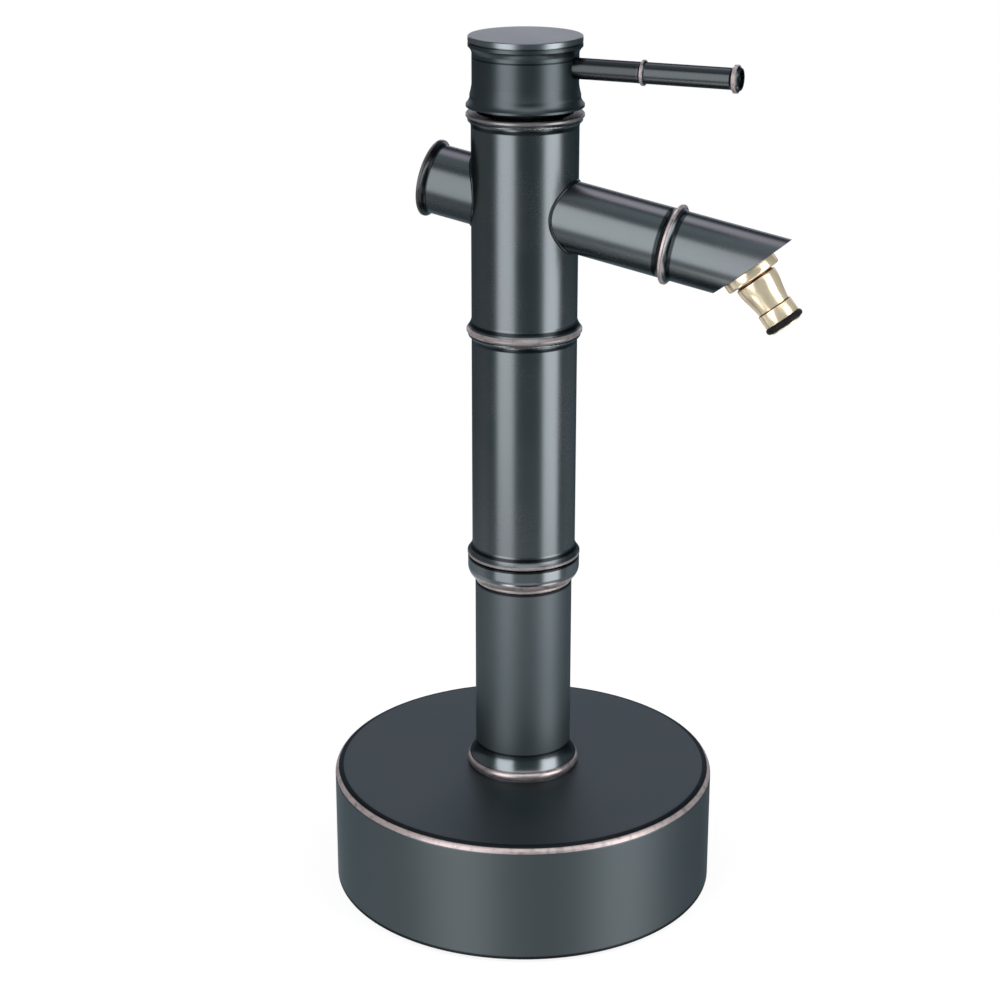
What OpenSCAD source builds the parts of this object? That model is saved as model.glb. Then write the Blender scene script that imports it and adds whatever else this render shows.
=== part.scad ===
// Garden standpipe: a bamboo-style tap column on a round weighted base, with a quarter-turn
// lever on top, a sloping spout that ends in a hose connector, and a closed rear branch stub.
// Millimetres, +Z up, +X along the spout. The origin is on the column's axis at ground level.

/* [Base] */
// Outside diameter of the drum-shaped base
base_d = 174; // [150:1:200]
// Height of the base's top face above the ground
base_top = 56; // [48:1:70]
// Thickness of the cover's side wall
cover_wall = 2; // [1.5:0.1:3]
// Thickness of the cover's top
cover_top_wall = 2.5; // [2:0.1:4]
// Rounding of the cover's top edge
cover_edge_r = 4; // [3.2:0.1:6]
// Gap between the cover's lower rim and the ground
rim_gap = 1.5; // [1:0.1:3]
// Thickness of the steel plate that closes the base from below
plate_t = 4; // [3:0.5:6]
// Height of the rubber feet, from the ground to the plate
foot_h = 4; // [3.5:0.5:6]
// Diameter of a rubber foot
foot_d = 18; // [12:1:24]
// Distance of the rubber feet from the cover's side wall
foot_inset = 6; // [4:0.5:14]
// Height of the cast-iron ballast ring
ballast_h = 26; // [15:1:32]
// Bore of the ballast ring
ballast_bore_d = 92; // [90:1:110]
// Diameter of the circle of screws that hold the plate
plate_screw_circle_d = 76; // [66:1:78]
// Diameter of the pillars that the plate is screwed to
pillar_d = 10; // [8:0.5:12]

/* [Post] */
// Outside diameter of the post tube
post_d = 43.4; // [40:0.1:45]
// Wall of the post tube
post_wall = 1.5; // [1.2:0.1:2.5]
// Height of the post tube's upper end above the ground
post_top = 147; // [120:0.5:150]
// Outside diameter of the bead round the post's foot
foot_bead_d = 51.2; // [50:0.1:56]
// Height of that bead
foot_bead_h = 4.8; // [3:0.1:6]
// Height of the concave flare above the bead
foot_flare_h = 6.8; // [6:0.1:12]
// Thickness of the foot collar's floor
foot_floor_t = 6; // [5:0.5:8]
// Diameter of the circle of screws that hold the foot collar
foot_screw_circle_d = 30; // [28:0.5:33]
// Outside diameter of the bowl-shaped collar on top of the post
bowl_d = 50; // [48:0.1:54]
// Rounding under the bowl-shaped collar
bowl_r = 6; // [4:0.1:6.5]
// Height of the bead at the collar's lower edge
bowl_bead_h = 2; // [1.5:0.1:3]
// Depth of the collar's spigot inside the post
bowl_spigot_h = 12; // [8:0.5:18]
// Thickness of the deck inside the collar that carries the tap
deck_t = 6; // [4:0.5:7]

/* [Tap body] */
// Outside diameter of the tap body
body_d = 46; // [44:0.5:52]
// Wall of the tap body
body_wall = 2.5; // [2:0.1:3.5]
// Height of the body's foot above the ground
body_foot = 159; // [156:0.5:175]
// Height of the body's upper end above the ground
body_top = 358; // [350:0.5:375]
// Distance of the lowest node ring from the body's foot
foot_node_up = 1.4; // [1:0.1:3]
// Height of the middle node ring above the ground
mid_node_z = 263.6; // [230:0.5:285]
// Distance of the top node ring below the body's upper end
top_node_down = 1; // [0.8:0.1:3]
// How far a node ring stands proud of its tube
node_rise = 2.2; // [1.2:0.1:3]
// Length of the curved flare on each side of a node ring
node_flare = 6; // [3:0.1:7]
// Width of a node ring's edge
node_land = 0.8; // [0.4:0.1:1.5]

/* [Spout and stub] */
// Height at which the spout's axis meets the body's axis
branch_z = 318.8; // [305:0.5:322]
// Slope of the spout and the stub below and above the horizontal, in degrees
branch_pitch = 10; // [4:1:15]
// Outside diameter of the spout and the stub
branch_d = 30; // [28:0.5:32]
// Wall of the spout and the stub
branch_wall = 2; // [1.5:0.1:3]
// Distance along the spout from the body's axis to the middle of the cut end
spout_len = 103; // [95:1:130]
// Distance along the spout from the body's axis to its node ring
spout_node_at = 68.1; // [50:0.5:74]
// Distance along the stub from the body's axis to its end
stub_len = 44; // [42:0.5:60]
// Distance from the stub's end back to its node ring
stub_node_back = 0.9; // [0.5:0.1:3]
// Direction of the outlet below the horizontal, in degrees
outlet_tilt = 52; // [45:1:60]
// Distance of the outlet from the middle of the cut, towards the lower lip
outlet_offset = 2; // [0:0.1:2.5]
// Thickness of the plate that closes the cut end
outlet_plate_t = 6; // [5.5:0.5:8]
// Depth of the outlet thread in that plate
outlet_thread_depth = 4.2; // [3:0.1:5]
// Outside diameter of the outlet thread, half-inch pipe size
outlet_thread_d = 20.9; // [18:0.1:21]

/* [Hose connector] */
// Diameter of the connector's collar
collar_d = 24.4; // [22:0.1:25]
// Height of the connector's collar
collar_h = 4.3; // [3:0.1:7]
// Diameter of the bell at its wide end
bell_d = 18.4; // [17:0.1:21]
// Diameter of the bell at its narrow end
bell_neck_d = 14.2; // [13:0.1:14.8]
// Height of the bell
bell_h = 14.7; // [10:0.1:20]
// Diameter of the nose that a hose coupling slides over
nose_d = 15.6; // [15:0.1:17]
// Length of the plain part of the nose
nose_len = 6; // [5:0.1:12]
// Bore through the connector
connector_bore_d = 9; // [7:0.1:10]
// Thickness of the connector's O-ring
o_ring_t = 2.8; // [2:0.1:3]
// Outside diameter of the connector's O-ring
o_ring_d = 17.4; // [17.2:0.1:19]
// Thickness of the fibre washer behind the collar
washer_t = 1; // [0.8:0.1:2]

/* [Lever head] */
// Largest diameter of the lever cap, at its lower edge
cap_d = 50.2; // [48:0.1:54]
// Diameter of the cap at its upper edge
cap_top_d = 48.4; // [46:0.1:52]
// Diameter of the cap at its waist
cap_waist_d = 45.2; // [43:0.1:46]
// Gap between the cap and the body
cap_gap = 2.6; // [1.5:0.1:4]
// Height of the cap without its top disc
cap_h = 26.4; // [25:0.1:34]
// Height of the cap's waist above its lower edge
cap_waist_up = 12; // [10:0.1:15]
// Height of the hollow skirt along the cap's lower edge
cap_skirt_h = 5; // [4:0.1:8]
// Diameter of the cap just above the skirt
cap_skirt_d = 47; // [45.6:0.1:48]
// Height of the flared band along the cap's upper edge
cap_band_h = 5.2; // [4:0.1:8]
// Wall of the cap at its waist
cap_wall = 2.2; // [1.8:0.1:3]
// Thickness of the cap's top disc
disc_t = 2.2; // [1.5:0.1:4]
// Gap between the top disc's edge and the cap
disc_shadow_gap = 0.8; // [0.5:0.1:1.5]
// Height of the lever above the cap's lower edge
lever_up = 17; // [15:0.1:18]
// Diameter of the lever rod next to the cap
lever_d = 8.8; // [7:0.1:9]
// Diameter of the lever's outer grip
grip_d = 8.9; // [8:0.1:11]
// Distance from the body's axis to the lever's node ring
lever_node_at = 52.4; // [45:0.5:60]
// Distance from the body's axis to the lever's end
lever_reach = 94; // [85:1:130]
// How far the lever's node ring stands proud
lever_node_rise = 0.9; // [0.5:0.1:1.5]
// Diameter of the ring on the lever's end
lever_end_d = 11.6; // [10:0.1:13]
// Quarter turn of the lever from closed to open, in degrees
lever_turn = 0; // [0:1:90]

/* [Valve] */
// Diameter of the valve stem
stem_d = 9.9; // [8:0.1:12]
// Outside diameter of the cartridge housing
cartridge_d = 23.8; // [22:0.1:26]
// Bore of the cartridge housing
cartridge_bore_d = 20; // [18:0.1:21]
// Diameter of the valve block's chamber
chamber_d = 30; // [28:0.5:33]
// Height of the chamber, from its floor to the block's top
chamber_h = 32; // [31:0.5:40]
// Thickness of a ceramic disc
ceramic_t = 4; // [3:0.1:5]
// Diameter of a port through the ceramic discs
ceramic_port_d = 6; // [4:0.1:7]
// Distance of those ports from the stem's axis
ceramic_port_at = 5.6; // [5:0.1:6]
// Outside diameter of the water tubes in the body and the spout
tube_d = 12; // [10:0.5:13]
// Wall of the water tubes
tube_wall = 1; // [0.8:0.1:1.5]

/* [Supply] */
// Diameter of half-inch pipe threads, at the threads' crests
pipe_thread_d = 20.96; // [20.9:0.01:21]
// Outside diameter of the riser pipe
riser_d = 15; // [12:0.1:15]
// Wall of the riser pipe
riser_wall = 1; // [0.7:0.1:1.5]
// Length of the tap's threaded shank below its foot
shank_len = 38; // [34:0.5:45]
// Diameter of the inlet fitting where it passes through the base plate
inlet_d = 28; // [26:0.5:32]
// Depth of the inlet's thread
inlet_depth = 15; // [12:0.5:16]

/* [Hidden] */
$fn = 96;

bronze = [0.20, 0.23, 0.25];
brass = [0.85, 0.72, 0.42];
steel = [0.62, 0.63, 0.65];
iron = [0.30, 0.30, 0.31];
black_rubber = [0.06, 0.06, 0.06];
plastic = [0.16, 0.16, 0.17];

// Clearance of a soldered, screwed or pushed joint, and of a turning one
joint_gap = 0.05;
turning_gap = 0.05;
face_gap = 0.3;
screw_d = 5;
screw_hole_d = screw_d + 0.6;
screw_head_t = 2.5;
screw_reach = 12;
screw_socket_d = 3.4;
screw_socket_depth = 1.6;
// A circle that meets a wall bites this far into it, so that the two cross cleanly
bite = 0.15;

base_r = base_d / 2;
cover_inner_r = base_r - cover_wall;
foot_circle_d = 2 * cover_inner_r - 2 * foot_inset - foot_d;
plate_top = foot_h + plate_t;
cover_under = base_top - cover_top_wall;
post_r = post_d / 2;
post_bore_r = post_r - post_wall;
post_bottom = base_top + foot_floor_t;
foot_collar_h = foot_bead_h + foot_flare_h;
body_r = body_d / 2;
body_bore_r = body_r - body_wall;
foot_node_z = body_foot + foot_node_up;
top_node_z = body_top - top_node_down;
branch_r = branch_d / 2;
branch_bore_r = branch_r - branch_wall;
tube_r = tube_d / 2;
tube_bore_r = tube_r - tube_wall;
plug_t = 8;
shank_bore_r = tube_r;
shank_end = body_foot - shank_len;
deck_under = body_foot - deck_t;
nut_h = 6;
hex_across = pipe_thread_d + 5;
riser_r = riser_d / 2;
riser_bore_r = riser_r - riser_wall;
riser_flange_t = 2;
riser_washer_t = 1.5;
riser_top = shank_end - riser_washer_t;
inlet_lip_t = 2;
inlet_lip_w = 3;
inlet_bottom = foot_h - inlet_lip_t;
inlet_neck_wall = 3.5;
inlet_neck_r = riser_r + inlet_neck_wall;
inlet_neck_bottom = inlet_bottom + inlet_depth + 3;
riser_bottom = inlet_neck_bottom + 2;
riser_socket_depth = 12;
inlet_top = riser_bottom + riser_socket_depth;
olive_t = 3;
nut_grip = 9;
nut_lip_t = 3;
nut_wall = 2;
block_top = body_top - 2;
chamber_floor = block_top - chamber_h;
block_bottom = branch_z - branch_bore_r - 4;
seal_t = 2.3;
disc_r = cartridge_bore_d / 2 - 0.2;
fixed_disc_bottom = chamber_floor + seal_t;
fixed_disc_top = fixed_disc_bottom + ceramic_t;
moving_disc_bottom = fixed_disc_top + joint_gap;
moving_disc_top = moving_disc_bottom + ceramic_t;
driver_t = 5;
driver_bottom = moving_disc_top + joint_gap;
driver_top = driver_bottom + driver_t;
housing_bottom = fixed_disc_bottom + 0.7;
housing_roof = driver_top + face_gap;
housing_flange_t = 4;
gland_t = 4;
gland_bottom = block_top - gland_t;
housing_flange_bottom = gland_bottom - housing_flange_t;
gland_head_t = 3;
housing_top = block_top + gland_head_t + 1;
housing_neck_r = stem_d / 2 + 3;
stem_r = stem_d / 2;
stem_bore_r = stem_r + turning_gap;
stem_seal_r = 1.2;
stem_seal_path_r = stem_r + stem_seal_r + joint_gap;
stem_seal_z = (housing_roof + housing_top) / 2;
cap_bottom = body_top + cap_gap;
cap_top = cap_bottom + cap_h;
cap_cavity_r = cap_waist_d / 2 - cap_wall;
cap_roof_t = 3.4;
cap_roof = cap_top - cap_roof_t;
hub_r = stem_r + 4;
hub_bottom = housing_top + face_gap;
stem_top = cap_top - cap_roof_t;
lever_z = cap_bottom + lever_up;
lever_r = lever_d / 2;
lever_spigot_r = 3;
lever_shoulder = cap_cavity_r - 3;
lever_boss_r = lever_r + 2;
grub_z = cap_bottom + 8;
grub_r = 2.5;
grub_len = hub_r - stem_r - 0.2;
plug_r = 3;
disc_bottom = cap_top + disc_shadow_gap;
disc_r_top = cap_top_d / 2;
disc_spigot_r = 15;
disc_spigot_h = 1.6;
grip_r = grip_d / 2;
grip_start = lever_node_at - 2;
core_r = 2.6;
end_button_t = 1.6;
cut_centre = [spout_len * cos(branch_pitch), 0, branch_z - spout_len * sin(branch_pitch)];
outlet_thread_r = outlet_thread_d / 2;
plate_recess = washer_t;
nose_r = nose_d / 2;
o_ring_r = o_ring_t / 2;
o_ring_path_r = o_ring_d / 2 - o_ring_r;
tip_lip_t = 0.5;
stub_cap_t = 6;
stub_cap_recess = 0.8;
// Larger than the branch in every direction
beyond = 2 * branch_d;

// Places along the connector, outwards from the cut plane
bell_at = collar_h + 0.8;
nose_at = collar_h + bell_h;
groove_at = nose_at + nose_len;
tip_at = groove_at + o_ring_t + tip_lip_t;

// Puts children on the branch's axis, with +Z along the spout and the top of the tube at -X
module on_branch() {
    translate([0, 0, branch_z]) rotate([0, 90 + branch_pitch, 0]) children();
}

// Puts children on the outlet's axis, with z = 0 on the cut plane and +Z outwards
module on_outlet() {
    translate(cut_centre) rotate([0, 90 + outlet_tilt, 0]) translate([outlet_offset, 0, 0])
        children();
}

// Four children on a circle, first one at the angle given
module four_on(circle_d, first) {
    for (i = [0 : 3]) rotate([0, 0, first + 90 * i]) translate([circle_d / 2, 0, 0]) children();
}

module ring(outer_r, inner_r, h) {
    difference() {
        cylinder(r = outer_r, h = h);
        translate([0, 0, -1]) cylinder(r = inner_r, h = h + 2);
    }
}

module hex_nut(across_flats, bore_r, h) {
    difference() {
        cylinder(d = across_flats / cos(30), h = h, $fn = 6);
        translate([0, 0, -1]) cylinder(r = bore_r, h = h + 2);
    }
}

// Half outline of a bamboo node: an edge with a hollow flare on each side of it
module node_outline(r, rise, flare, land) {
    arc_r = ((rise + bite) * (rise + bite) + flare * flare) / (2 * (rise + bite));
    difference() {
        translate([r - 1, -flare - land / 2]) square([rise + 1, 2 * flare + land]);
        for (side = [-1, 1])
            translate([r - bite + arc_r, side * (flare + land / 2)]) circle(r = arc_r);
    }
}

// Fine second ridge below a node's edge
module second_ridge(r, rise) {
    translate([r + rise * 0.42, -node_land / 2 - 1.7]) circle(r = 0.55);
}

// What a quarter circle leaves outside it in an outline's upper outer corner
module corner_waste(r, top, round_r) {
    translate([r - round_r, top - round_r]) difference() {
        square([round_r + 1, round_r + 1]);
        circle(r = round_r + 0.05);
    }
}

// What a hollow flare cuts off an outline that widens from one radius and height to another
module flare_waste(from_r, to_r, from_z, to_z) {
    rise = to_r - from_r + bite;
    run = abs(to_z - from_z);
    arc_r = (rise * rise + run * run) / (2 * rise);
    intersection() {
        translate([from_r - bite + arc_r, from_z]) circle(r = arc_r);
        translate([from_r, min(from_z, to_z)]) square([to_r - from_r + 1, run]);
    }
}

// Base

module base_cover() {
    color(bronze) difference() {
        union() {
            rotate_extrude() difference() {
                translate([0, rim_gap]) square([base_r, base_top - rim_gap]);
                corner_waste(base_r, base_top, cover_edge_r);
                difference() {
                    translate([-1, 0]) square([cover_inner_r + 1, cover_under]);
                    corner_waste(cover_inner_r, cover_under, cover_edge_r - cover_wall);
                }
            }
            four_on(plate_screw_circle_d, 45) translate([0, 0, plate_top])
                cylinder(d = pillar_d, h = cover_under - plate_top + 1);
        }
        translate([0, 0, cover_under - 1])
            cylinder(r = riser_r + 1.5, h = cover_top_wall + 2);
        four_on(plate_screw_circle_d, 45) translate([0, 0, plate_top - 1])
            cylinder(d = screw_d + 2 * joint_gap, h = screw_reach + 4);
        four_on(foot_screw_circle_d, 0) translate([0, 0, cover_under - 1])
            cylinder(d = screw_hole_d, h = cover_top_wall + 2);
    }
}

module ballast_ring() {
    color(iron) translate([0, 0, plate_top])
        ring(cover_inner_r - face_gap, ballast_bore_d / 2, ballast_h);
}

module base_plate() {
    color(steel) difference() {
        translate([0, 0, foot_h]) cylinder(r = cover_inner_r - face_gap, h = plate_t);
        translate([0, 0, foot_h - 1]) cylinder(r = inlet_d / 2 + joint_gap, h = plate_t + 2);
        four_on(plate_screw_circle_d, 45) translate([0, 0, foot_h]) {
            translate([0, 0, -1]) cylinder(d = screw_hole_d, h = plate_t + 2);
            translate([0, 0, -0.01]) cylinder(r1 = screw_d + 0.1, r2 = screw_d / 2, h = screw_head_t + 0.1);
        }
    }
}

// Countersunk screws, heads flush with the plate's underside
module base_plate_screws() {
    color(steel) four_on(plate_screw_circle_d, 45) translate([0, 0, foot_h]) difference() {
        union() {
            cylinder(r1 = screw_d, r2 = screw_d / 2, h = screw_head_t);
            cylinder(d = screw_d, h = plate_t + screw_reach);
        }
        translate([0, 0, -1]) cylinder(d = screw_socket_d, h = screw_socket_depth + 1, $fn = 6);
    }
}

module rubber_feet() {
    color(black_rubber) four_on(foot_circle_d, 0) cylinder(d = foot_d, h = foot_h);
}

// Supply

// The lip bears on the plate from below, and the mouth of the half-inch thread faces down
module inlet_fitting() {
    color(brass) rotate_extrude() difference() {
        union() {
            translate([0, inlet_bottom]) square([inlet_d / 2 + inlet_lip_w, inlet_lip_t]);
            translate([0, inlet_bottom])
                square([inlet_d / 2, inlet_neck_bottom - inlet_bottom]);
            translate([0, inlet_bottom]) square([inlet_neck_r, inlet_top - inlet_bottom]);
        }
        translate([-1, inlet_bottom - 1]) square([pipe_thread_d / 2 + 1, inlet_depth + 1]);
        translate([-1, 0]) square([riser_bore_r + 1, inlet_top + 1]);
        translate([-1, riser_bottom]) square([riser_r + joint_gap + 1, inlet_top]);
    }
}

module inlet_locknut() {
    color(brass) translate([0, 0, plate_top]) hex_nut(inlet_d + 6, inlet_d / 2 + joint_gap, nut_h);
}

module riser_olive() {
    color(brass) translate([0, 0, inlet_top]) ring(inlet_neck_r - 0.3, riser_r + joint_gap, olive_t);
}

module riser_compression_nut() {
    nut_bottom = inlet_top - nut_grip;
    color(brass) difference() {
        translate([0, 0, nut_bottom])
            hex_nut(2 * (inlet_neck_r + nut_wall), riser_r + joint_gap,
                nut_grip + olive_t + nut_lip_t);
        translate([0, 0, nut_bottom - 1])
            cylinder(r = inlet_neck_r + joint_gap, h = nut_grip + olive_t + 1);
    }
}

module riser_pipe() {
    color([0.72, 0.45, 0.33]) rotate_extrude() difference() {
        union() {
            translate([0, riser_bottom]) square([riser_r, riser_top - riser_bottom]);
            translate([0, riser_top - riser_flange_t])
                square([pipe_thread_d / 2 - 1, riser_flange_t]);
        }
        translate([-1, riser_bottom - 1]) square([riser_bore_r + 1, riser_top + 2]);
    }
}

module riser_washer() {
    color(black_rubber) translate([0, 0, riser_top])
        ring(pipe_thread_d / 2 - 1, shank_bore_r, riser_washer_t);
}

// The nut's lip lifts the riser's flange against the shank's end
module riser_union_nut() {
    nut_bottom = riser_top - riser_flange_t - nut_lip_t;
    color(brass) difference() {
        translate([0, 0, nut_bottom])
            hex_nut(hex_across, riser_r + face_gap, shank_end + nut_grip - nut_bottom);
        translate([0, 0, nut_bottom + nut_lip_t])
            cylinder(r = pipe_thread_d / 2 + joint_gap, h = shank_end + nut_grip - nut_bottom);
    }
}

// Post

module foot_collar_screws() {
    head_t = 3.5;
    color(steel) four_on(foot_screw_circle_d, 0) {
        translate([0, 0, cover_under - head_t]) cylinder(d = 8 / cos(30), h = head_t, $fn = 6);
        translate([0, 0, cover_under - 0.5])
            cylinder(d = screw_d, h = cover_top_wall + foot_floor_t - 1);
    }
}

module post_foot_collar() {
    lip_r = post_r + 0.5;
    flare_rise = foot_bead_d / 2 - 1.2 - lip_r;
    arc_r = (flare_rise * flare_rise + foot_flare_h * foot_flare_h) / (2 * flare_rise);
    top = base_top + foot_collar_h;
    color(bronze) difference() {
        rotate_extrude() difference() {
            union() {
                translate([0, base_top]) square([foot_bead_d / 2 - 1.1, foot_collar_h]);
                translate([foot_bead_d / 2 - foot_bead_h / 2, base_top + foot_bead_h / 2])
                    circle(r = foot_bead_h / 2 - 0.05);
            }
            translate([lip_r + arc_r, top]) circle(r = arc_r);
            translate([-1, post_bottom]) square([post_r + joint_gap + 1, foot_collar_h]);
            translate([-1, base_top - 1]) square([riser_r + 2.5, foot_collar_h]);
        }
        four_on(foot_screw_circle_d, 0) translate([0, 0, base_top - 1])
            cylinder(d = screw_d + 2 * joint_gap, h = foot_floor_t + 0.5);
    }
}

module post_tube() {
    color(bronze) translate([0, 0, post_bottom])
        ring(post_r, post_bore_r, post_top - post_bottom);
}

// Bowl-shaped collar that the tap stands on, with a spigot in the post
module post_top_collar() {
    neck_r = post_bore_r - joint_gap;
    bowl_bottom = post_top + 0.5 * bowl_bead_h;
    bead_r = post_r + 0.1 - bowl_bead_h / 2;
    color(bronze) rotate_extrude() difference() {
        union() {
            translate([0, bowl_bottom + bowl_r])
                square([bowl_d / 2, body_foot - bowl_bottom - bowl_r]);
            translate([0, post_top]) square([bowl_d / 2 - bowl_r + 0.2, body_foot - post_top]);
            intersection() {
                translate([bowl_d / 2 - bowl_r - 0.05, bowl_bottom + bowl_r])
                    circle(r = bowl_r + 0.05);
                translate([0, bowl_bottom]) square([bowl_d / 2, bowl_r + 1]);
            }
            translate([0, post_top]) square([bead_r, bowl_bead_h - 0.5]);
            intersection() {
                translate([bead_r, post_top + bowl_bead_h / 2]) circle(r = bowl_bead_h / 2 + 0.05);
                translate([0, post_top]) square([bowl_d / 2, bowl_bead_h]);
            }
            translate([0, post_top - bowl_spigot_h]) square([neck_r, bowl_spigot_h + 1]);
        }
        translate([-1, post_top - bowl_spigot_h - 1])
            square([neck_r - 3 + 1, deck_under - post_top + bowl_spigot_h + 1]);
        translate([-1, 0]) square([pipe_thread_d / 2 + 0.3 + 1, body_foot + 1]);
    }
}

module tap_shank_plug() {
    color(brass) rotate_extrude() difference() {
        union() {
            translate([0, body_foot]) square([body_bore_r - joint_gap, plug_t]);
            translate([0, shank_end]) square([pipe_thread_d / 2, shank_len + 1]);
        }
        translate([-1, shank_end - 1]) square([tube_bore_r + 1, shank_len + plug_t + 2]);
        translate([-1, body_foot]) square([tube_r + joint_gap + 1, plug_t + 1]);
    }
}

module shank_washer() {
    color(steel) translate([0, 0, deck_under - 1.5]) ring(hex_across / 2, pipe_thread_d / 2 + 0.3, 1.5);
}

module shank_backnut() {
    color(brass) translate([0, 0, deck_under - 1.5 - nut_h])
        hex_nut(hex_across, pipe_thread_d / 2 + joint_gap, nut_h);
}

// Tap body

module tap_body() {
    color(bronze) difference() {
        rotate_extrude() intersection() {
            difference() {
                union() {
                    translate([0, body_foot]) square([body_r, body_top - body_foot]);
                    for (z = [foot_node_z, mid_node_z, top_node_z])
                        translate([0, z]) node_outline(body_r, node_rise, node_flare, node_land);
                    translate([0, mid_node_z]) second_ridge(body_r, node_rise);
                    translate([0, top_node_z]) second_ridge(body_r, node_rise);
                }
                translate([-1, body_foot - 1]) square([body_bore_r + 1, body_top]);
            }
            translate([0, body_foot]) square([2 * body_r, body_top - body_foot]);
        }
        on_branch() translate([0, 0, -2 * body_r])
            cylinder(r = branch_r + joint_gap, h = 4 * body_r);
    }
}

// Straight tube that carries water up the body to the valve block
module feed_tube() {
    color([0.72, 0.45, 0.33]) translate([0, 0, body_foot])
        ring(tube_r, tube_bore_r, block_bottom + 8 - body_foot);
}

// Brass block with the valve chamber, its inlet on the axis and its outlet towards the spout
module valve_block() {
    outlet_from = tube_r + 3;
    color(brass) difference() {
        rotate_extrude() difference() {
            translate([0, block_bottom])
                square([body_bore_r - joint_gap, block_top - block_bottom]);
            translate([-1, chamber_floor]) square([chamber_d / 2 + 1, chamber_h + 1]);
            translate([-1, block_bottom - 1]) square([tube_bore_r + 1, block_top]);
            translate([-1, block_bottom - 1]) square([tube_r + joint_gap + 1, 9]);
        }
        on_branch() translate([0, 0, outlet_from])
            cylinder(r = tube_r + joint_gap, h = body_r);
        translate([outlet_from + 2.5, 0, branch_z - 3])
            cylinder(r = 2, h = chamber_floor - branch_z + 4);
    }
}

module cartridge_seal() {
    color(black_rubber) translate([0, 0, chamber_floor])
        ring(disc_r, ceramic_port_at + ceramic_port_d / 2 + 0.3, seal_t);
}

// Turned housing with a window on each side, clamped by the gland nut on its flange
module cartridge_housing() {
    color(plastic) difference() {
        rotate_extrude() difference() {
            union() {
                translate([0, housing_bottom])
                    square([cartridge_d / 2, gland_bottom - housing_bottom]);
                translate([0, housing_flange_bottom])
                    square([chamber_d / 2 - joint_gap, housing_flange_t]);
                translate([0, gland_bottom]) square([housing_neck_r, housing_top - gland_bottom]);
            }
            translate([-1, housing_bottom - 1])
                square([cartridge_bore_d / 2 + 1, housing_roof - housing_bottom + 1]);
            translate([-1, housing_bottom]) square([stem_bore_r + 1, housing_top]);
            translate([0, stem_seal_z - stem_seal_r - joint_gap])
                square([stem_seal_path_r + stem_seal_r + joint_gap, 2 * (stem_seal_r + joint_gap)]);
        }
        for (side = [0, 180]) rotate([0, 0, side])
            translate([cartridge_bore_d / 2 - 3, -4, driver_bottom]) cube([8, 8, driver_t]);
    }
}

module ceramic_disc(bottom, port_angle) {
    color([0.93, 0.92, 0.88]) translate([0, 0, bottom]) difference() {
        cylinder(r = disc_r, h = ceramic_t);
        for (side = [0, 180]) rotate([0, 0, port_angle + side])
            translate([ceramic_port_at, 0, -1]) cylinder(d = ceramic_port_d, h = ceramic_t + 2);
    }
}

module fixed_ceramic_disc() {
    ceramic_disc(fixed_disc_bottom, 0);
}

// Closed at rest: its ports stand a quarter turn away from those of the fixed disc
module moving_ceramic_disc() {
    turned() ceramic_disc(moving_disc_bottom, 90);
}

module stem_seal() {
    color(black_rubber) translate([0, 0, stem_seal_z]) rotate_extrude()
        translate([stem_seal_path_r, 0]) circle(r = stem_seal_r);
}

module gland_nut() {
    bore_r = housing_neck_r + joint_gap;
    color(bronze) {
        translate([0, 0, gland_bottom]) ring(chamber_d / 2 - joint_gap, bore_r, gland_t);
        translate([0, 0, block_top]) hex_nut(chamber_d, bore_r, gland_head_t);
    }
}

// Turns children with the lever
module turned() {
    rotate([0, 0, lever_turn]) children();
}

module valve_stem() {
    turned() color(brass) {
        translate([0, 0, driver_top - 0.5]) cylinder(r = stem_r, h = stem_top - driver_top + 0.5);
        intersection() {
            translate([0, 0, driver_bottom]) cylinder(r = disc_r, h = driver_t);
            translate([-disc_r, -stem_r + 1, driver_bottom]) cube([2 * disc_r, stem_d - 2, driver_t]);
        }
    }
}

// Spout and stub

module beyond_cut(from) {
    on_outlet() translate([-beyond, -beyond, from]) cube(2 * beyond);
}

module body_bore() {
    translate([0, 0, branch_z - beyond]) cylinder(r = body_bore_r, h = 2 * beyond);
}

module spout_tube() {
    color(bronze) difference() {
        on_branch() rotate_extrude() difference() {
            union() {
                translate([0, 8]) square([branch_r, spout_len + 2 * branch_r]);
                translate([0, spout_node_at])
                    node_outline(branch_r, node_rise, node_flare * 0.55, node_land);
            }
            translate([-1, 0]) square([branch_bore_r + 1, spout_len + 3 * branch_r]);
        }
        beyond_cut(0);
        body_bore();
    }
}

// Water tube inside the spout, mitred to the plate in the cut end
module outlet_tube() {
    color([0.72, 0.45, 0.33]) difference() {
        on_branch() translate([0, 0, tube_r + 4])
            ring(tube_r, tube_bore_r, spout_len + branch_r);
        beyond_cut(-plate_recess - outlet_plate_t);
    }
}

module outlet_plate() {
    color(bronze) difference() {
        intersection() {
            on_branch() cylinder(r = branch_bore_r - joint_gap, h = spout_len + 2 * branch_r);
            on_outlet() translate([-beyond, -beyond, -plate_recess - outlet_plate_t])
                cube([2 * beyond, 2 * beyond, outlet_plate_t]);
        }
        on_outlet() translate([0, 0, -plate_recess - outlet_thread_depth])
            cylinder(r = outlet_thread_r + joint_gap, h = outlet_thread_depth + 1);
        on_branch() cylinder(r = tube_bore_r, h = spout_len + branch_r);
    }
}

module connector_washer() {
    color(black_rubber) on_outlet() translate([0, 0, -plate_recess])
        ring(collar_d / 2 - 0.2, outlet_thread_r + joint_gap, washer_t);
}

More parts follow.
